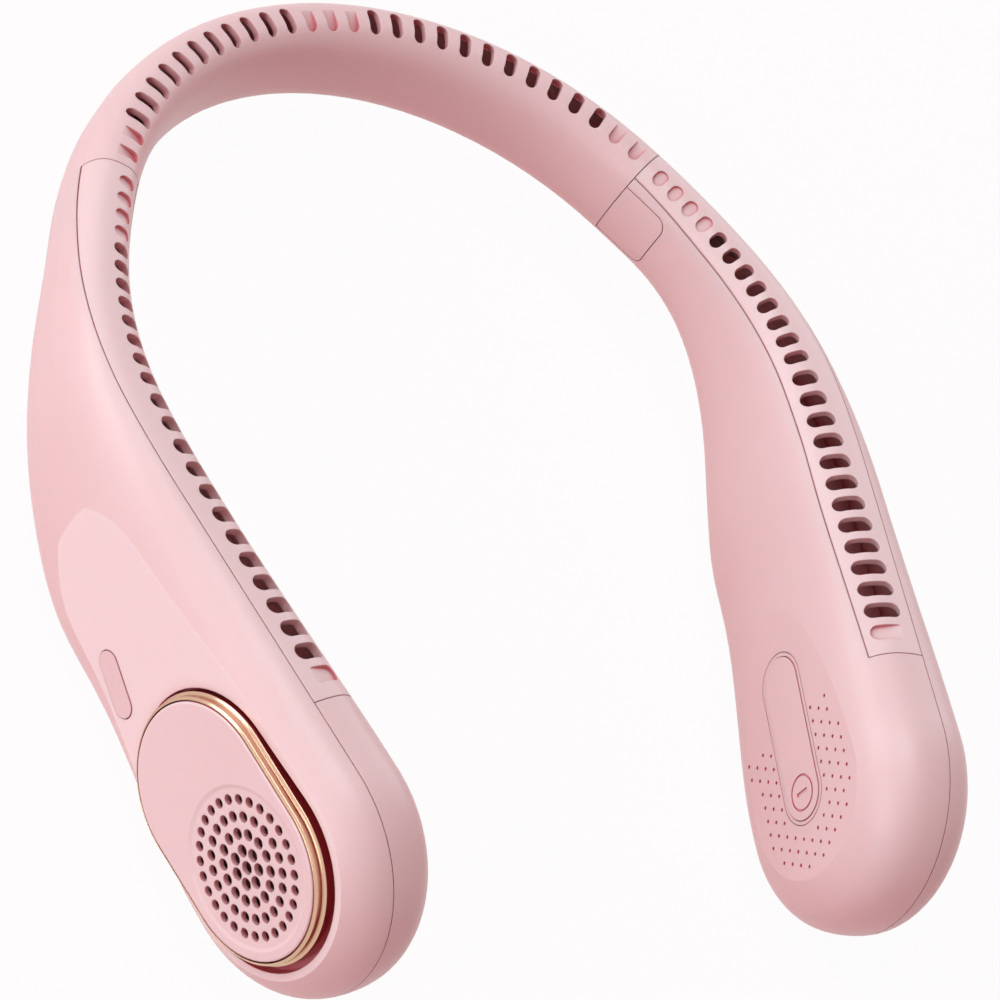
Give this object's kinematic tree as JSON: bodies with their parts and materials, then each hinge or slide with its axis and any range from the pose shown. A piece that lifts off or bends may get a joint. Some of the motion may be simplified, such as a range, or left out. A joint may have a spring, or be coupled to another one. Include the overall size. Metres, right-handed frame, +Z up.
{
  "type": "electric neck fan",
  "caption": "Neck-worn fan: a C-shaped band with a blower pod at each end, perforated intake covers and air slots along its top edge.",
  "frame": {"origin": "on the table under the middle of the part as it lies on its arms and pods", "axes": "+X to the wearer's left arm of the fan with the power button, +Y to the nape, +Z up to the vent side"},
  "size_m": [0.2102, 0.2382, 0.0634],
  "materials": {
    "shell_plastic": "satin pink",
    "strip_plastic": "satin pale pink",
    "cover_plastic": "gloss pink",
    "button_plastic": "satin pink",
    "rose_gold": "rose-gold anodised",
    "mesh_fabric": "woven filter mesh",
    "dark_plastic": "moulded",
    "impeller_plastic": "moulded",
    "steel": "bright",
    "iron": "laminated",
    "magnet": "sintered",
    "bronze": "sintered bronze",
    "cell_foil": "foil pouch",
    "board": "green solder mask",
    "cable_rubber": "soft jacket"
  },
  "bodies": {
    "band": {"left_battery": "cell_foil", "left_bearing": "bronze", "left_cell_tray": "dark_plastic", "left_circuit_board": "board", "left_duct_divider": "shell_plastic", "left_dust_mesh": "mesh_fabric", "left_fan_scroll": "dark_plastic", "left_inner_shell": "shell_plastic", "left_intake_cover": "cover_plastic", "left_mode_switch": "dark_plastic", "left_motor_stator": "iron", "left_screw_1": "steel", "left_screw_2": "steel", "left_screw_3": "steel", "left_screw_4": "steel", "left_seam_cover": "shell_plastic", "left_trim_ring": "rose_gold", "left_vent_strip": "strip_plastic", "link_cable": "cable_rubber", "neck_band_shell": "shell_plastic", "right_battery": "cell_foil", "right_bearing": "bronze", "right_cell_tray": "dark_plastic", "right_circuit_board": "board", "right_duct_divider": "shell_plastic", "right_dust_mesh": "mesh_fabric", "right_fan_scroll": "dark_plastic", "right_inner_shell": "shell_plastic", "right_intake_cover": "cover_plastic", "right_motor_stator": "iron", "right_power_bezel": "shell_plastic", "right_power_switch": "dark_plastic", "right_screw_1": "steel", "right_screw_2": "steel", "right_screw_3": "steel", "right_screw_4": "steel", "right_seam_cover": "shell_plastic", "right_switch_board": "board", "right_trim_ring": "rose_gold", "right_vent_strip": "strip_plastic", "usb_socket": "steel"},
    "left_fan": {"left_impeller": "impeller_plastic", "left_rotor_cup": "steel", "left_magnet_ring": "magnet"},
    "right_fan": {"right_impeller": "impeller_plastic", "right_rotor_cup": "steel", "right_magnet_ring": "magnet"},
    "mode_button": {"left_mode_button": "button_plastic"},
    "power_button": {"right_power_button": "button_plastic"}
  },
  "joints": [
    {"name": "left_fan_spin", "type": "hinge", "parent": "band", "child": "left_fan", "pos_m": [-0.07575, -0.08747, 0.03199], "axis": [-0.9805, -0.1945, 0.0289], "continuous": true},
    {"name": "right_fan_spin", "type": "hinge", "parent": "band", "child": "right_fan", "pos_m": [0.07575, -0.08747, 0.03199], "axis": [0.9805, -0.1945, 0.0289], "continuous": true},
    {"name": "mode_button_press", "type": "slide", "parent": "band", "child": "mode_button", "axis": [0.9805, 0.1945, -0.0289], "range_m": [0, 0.0005], "stiffness_N_per_m": 1500, "springref_m": -0.0003},
    {"name": "power_button_press", "type": "slide", "parent": "band", "child": "power_button", "axis": [0.9805, -0.1945, 0.0289], "range_m": [0, 0.0004], "stiffness_N_per_m": 1500, "springref_m": -0.0003}
  ]
}
